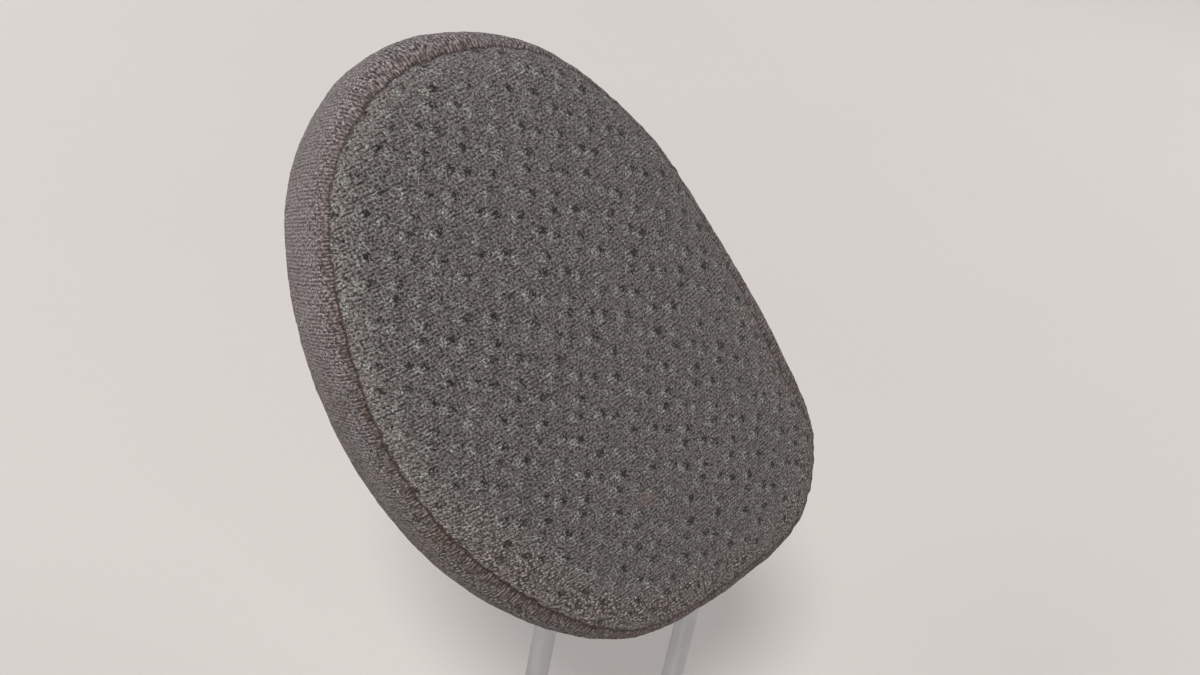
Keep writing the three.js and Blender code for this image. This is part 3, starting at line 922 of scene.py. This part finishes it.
def cloth_finish(nodes, base, rise):
    """What both cloths share: a dull surface, its relief and a faint sheen."""
    nodes.set(Base_Color=base, Roughness=0.95, Normal=nodes.bump(rise, CLOTH_BUMP))
    nodes.set(Sheen_Weight=0.26, Sheen_Roughness=0.45, Sheen_Tint=SHEEN_TINT, Specular_IOR_Level=0.2)
    return nodes.owner


def patterned_cloth():
    """Grey moquette: courses of loops, pale greenish tufts and a dark fleck at the side of each."""
    nodes = material_nodes("patterned_cloth")
    place = nodes.cloth_place()
    side, _, seam = nodes.parts(place)
    across, along = repeats(nodes, place)
    stray = nodes.span(nodes.noise(place, 0.7, 3.0, 0.7), 0.3, 0.7, -TUFT_STRAY, TUFT_STRAY)
    pale, dark = tufts(nodes, across, along, stray)
    run = nodes.times(across, math.hypot(*REPEAT_ACROSS))
    height, chance, strokes = knit(nodes, run, nodes.times(along, LOOPS_IN_REPEAT), FACE_LOOP, FACE_RIB)
    loose, nub = nubs(nodes, place, seam)
    pits = dark_strokes(nodes, chance, strokes, nodes.times(dark, 0.85))

    base = nodes.mix(nodes.span(nodes.noise(place, 0.05, 3.0, 0.6), 0.35, 0.65), *FACE_GREYS)
    base = nodes.mix(nodes.times(pale, 0.9), base, TUFT_PALE)
    base = nodes.mix(nodes.times(dark, 0.38), base, FLECK_DARK)
    base = nodes.mix(nodes.times(loose, 0.8), base, LOOSE_PALE)
    base = rubbed_seam(nodes, side, seam, base)
    base = yarn(nodes, base, height, strokes, chance, FACE_GAP_SHADE, FACE_STROKES)
    base = nodes.mix(nodes.times(pits, 0.92), base, FACE_PIT)
    # Painted shade between the nubs low on the face.
    base = nodes.mix(nodes.times(loose, nodes.span(nub, 0.5, 0.0, 0.0, 0.85)), base, NUB_GAP_SHADE)
    base = stain(nodes, place, base)
    base = stitch_line(nodes, seam, strokes, base)
    base = seam_dirt(nodes, place, seam, base)

    rise = nodes.minus(nodes.plus(height, nodes.times(pale, 0.6)), pits)
    rise = nodes.plus(rise, nodes.times(strokes, 1.5))
    rise = nodes.plus(rise, nodes.times(nodes.times(nub, loose), 1.5))
    return cloth_finish(nodes, base, rise)


def band_cloth(name):
    """The plain knit of the band and the back: courses with short dark dashes, with painted shade and some
    brown dirt low down.
    """
    nodes = material_nodes(name)
    place = nodes.cloth_place()
    run, across, seam = nodes.parts(place)
    height, chance, strokes = knit(nodes, across, nodes.over(run, BAND_COURSE), BAND_LOOP, BAND_RIB)
    tint = nodes.span(nodes.noise(place, 0.06, 3.0, 0.6), 0.35, 0.65)
    up = nodes.parts(nodes.object_place())[2]
    ragged = nodes.span(tint, 0.0, 1.0, -LOW_SHADE_AND_DIRT_RAGGED, LOW_SHADE_AND_DIRT_RAGGED)
    # Painted shade: the band and the back get darker and more pitted low down, where less light falls. Brown
    # dirt lies in the same part.
    low_shade_and_dirt = nodes.span(nodes.plus(up, ragged), *LOW_SHADE_AND_DIRT_HEIGHTS)
    brown = nodes.times(low_shade_and_dirt, nodes.span(nodes.noise(place, 0.05, 3.0, 0.6), 0.5, 0.65))
    pits = dark_strokes(nodes, chance, strokes, nodes.span(low_shade_and_dirt, 0.0, 1.0, 0.14, 0.22))

    base = nodes.mix(tint, *BAND_GREYS)
    base = nodes.mix(low_shade_and_dirt, base, BAND_LOW_SHADE)
    base = nodes.mix(nodes.times(brown, 0.6), base, BAND_BROWN)
    base = yarn(nodes, base, height, strokes, chance, BAND_GAP_SHADE, BAND_STROKES)
    base = nodes.mix(nodes.times(pits, 0.85), base, BAND_PIT)
    base = nodes.mix(nodes.times(nodes.span(seam, 5.0, 1.0), 0.3), base, BAND_RUSTY)
    base = stitch_line(nodes, seam, strokes, base)

    rise = nodes.minus(nodes.plus(height, nodes.times(strokes, 0.8)), pits)
    return cloth_finish(nodes, base, rise)


def plated_steel():
    """Bright plating with faint lengthwise rubbing."""
    nodes = material_nodes("plated_steel")
    place = nodes.object_place()
    rubbed = nodes.noise(nodes.move(place, (900, 900, 25)), 1.0, 3.0, 0.6)
    cloudy = nodes.noise(place, 60.0, 3.0, 0.6)
    nodes.set(Base_Color=nodes.mix(cloudy, *PLATING), Metallic=1.0)
    nodes.set(Roughness=nodes.span(rubbed, 0.3, 0.7, 0.42, 0.52), Normal=nodes.bump(rubbed, 0.00003, 0.5))
    return nodes.owner


def bare_steel():
    """Bare drawn steel of the wires and the plate."""
    nodes = material_nodes("bare_steel")
    cloudy = nodes.noise(nodes.object_place(), 90.0, 4.0, 0.6)
    nodes.set(Base_Color=nodes.mix(cloudy, *BARE_STEEL), Metallic=1.0)
    nodes.set(Roughness=nodes.span(cloudy, 0.3, 0.7, 0.4, 0.6), Normal=nodes.bump(cloudy, 0.00005, 0.5))
    return nodes.owner


def moulded_foam():
    """Cream moulded foam with open pores."""
    nodes = material_nodes("foam")
    place = nodes.object_place()
    pores = nodes.noise(place, 900.0)
    clouds = nodes.noise(place, 40.0, 3.0)
    nodes.set(Base_Color=nodes.mix(clouds, *FOAM_CREAM), Roughness=0.95)
    nodes.set(Normal=nodes.bump(pores, 0.0004, 0.8))
    return nodes.owner


def strip_plastic():
    """Black extruded plastic of the closure strips."""
    nodes = material_nodes("strip_plastic")
    grainy = nodes.noise(nodes.object_place(), 1500.0)
    nodes.set(Base_Color=nodes.mix(grainy, *STRIP_BLACK))
    nodes.set(Roughness=nodes.span(grainy, 0.3, 0.7, 0.5, 0.65), Normal=nodes.bump(grainy, 0.00004, 0.4))
    return nodes.owner


def paint(piece, material):
    piece.data.materials.clear()
    piece.data.materials.append(material)


def dress_frame():
    """Gives the carried-over nodes their materials."""
    steel, foam, plastic = bare_steel(), moulded_foam(), strip_plastic()
    for name in ("support_hoop", "cross_wire", "support_plate"):
        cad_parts[name].material_slots[0].material = steel
    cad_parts["foam_core"].material_slots[0].material = foam
    for name in ("closure_strip_outer", "closure_strip_inner"):
        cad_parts[name].material_slots[0].material = plastic


def dress_cover():
    """Makes the three sewn pieces of the cover."""
    swelling = swell()
    front = panel("front_cover", -1, swelling, FRONT_SEED)
    band = side_band("side_band", swelling)
    back = panel("back_cover", 1, swelling, BACK_SEED)
    pieces = (
        (front, "cover_front_panel", patterned_cloth(), "patterned_cloth"),
        (band, "cover_side_band", band_cloth("band_cloth"), "band_cloth"),
        (back, "cover_back_panel", band_cloth("back_cloth"), "band_cloth"),
    )
    for piece, node, material, slot in pieces:
        paint(piece, material)
        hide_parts(node)
        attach(piece, "root")


def dress_rod():
    """Makes the bent rod."""
    piece = rod("bent_rod")
    paint(piece, plated_steel())
    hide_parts("rod_frame")
    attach(piece, "root")


def floor():
    """A plain pale floor under the post tips: painted shade darkens it near the pad, and painted light makes
    it paler further off.
    """
    nodes = material_nodes("pale_floor")
    place = nodes.object_place()
    away = nodes.vector("LENGTH", place).outputs["Value"]
    # Painted shade near the pad and painted light further off, with some random tone.
    far = nodes.plus(nodes.span(away, *FLOOR_FADE), nodes.times(nodes.noise(place, 3.0), 0.1))
    nodes.set(Base_Color=nodes.mix(far, *FLOOR_SHADED_NEAR_LIT_FAR), Roughness=0.45)
    signs = ((-1, -1), (1, -1), (1, 1), (-1, 1))
    corners = [(x * FLOOR_HALF, y * FLOOR_HALF, 0) for x, y in signs]
    ground = mesh_object("floor", corners, [(0, 1, 2, 3)])
    paint(ground, nodes.owner)


def lamp(name, place, width, power):
    """A round soft lamp that shines at the pad."""
    data = bpy.data.lights.new(name, "AREA")
    data.shape = "DISK"
    data.size = width
    data.energy = power
    item = bpy.data.objects.new(name, data)
    item.location = place
    item.rotation_euler = (Vector(LAMPS_AIM) - Vector(place)).to_track_quat("-Z", "Y").to_euler()
    bpy.context.scene.collection.objects.link(item)


def sky():
    """Soft light all round, brighter on the left; the camera and shiny surfaces see a pale surrounding."""
    nodes = Nodes(bpy.data.worlds.new("studio"))
    place = nodes.add("ShaderNodeTexCoord").outputs["Generated"]
    level = nodes.span(nodes.dot(place, SKY_SIDE), *SKY_SHARES, *SKY_STRENGTHS)
    rays = nodes.add("ShaderNodeLightPath").outputs
    seen = nodes.math("MAXIMUM", rays["Is Camera Ray"], rays["Is Glossy Ray"])
    nodes.set(Strength=nodes.blend(seen, level, 1.0), Color=nodes.mix(seen, SKY_TINT, SURROUNDINGS))
    bpy.context.scene.world = nodes.owner


def studio():
    """Soft light from above and from the left, as in the photograph."""
    for name, place, width, power in LAMPS:
        lamp(name, place, width, power)
    sky()
    bpy.context.scene.view_settings.view_transform = "Standard"


def camera():
    """The photograph's view."""
    data = bpy.data.cameras.new("camera")
    data.sensor_width = SENSOR_WIDTH
    data.lens = CAMERA_LENS
    data.clip_end = CAMERA_FAR
    item = bpy.data.objects.new("camera", data)
    item.location = Vector(CAMERA_AT) * MM
    item.rotation_euler = [math.radians(angle) for angle in CAMERA_TURN]
    bpy.context.scene.collection.objects.link(item)
    bpy.context.scene.camera = item


camera()
studio()
floor()
dress_frame()
dress_cover()
dress_rod()
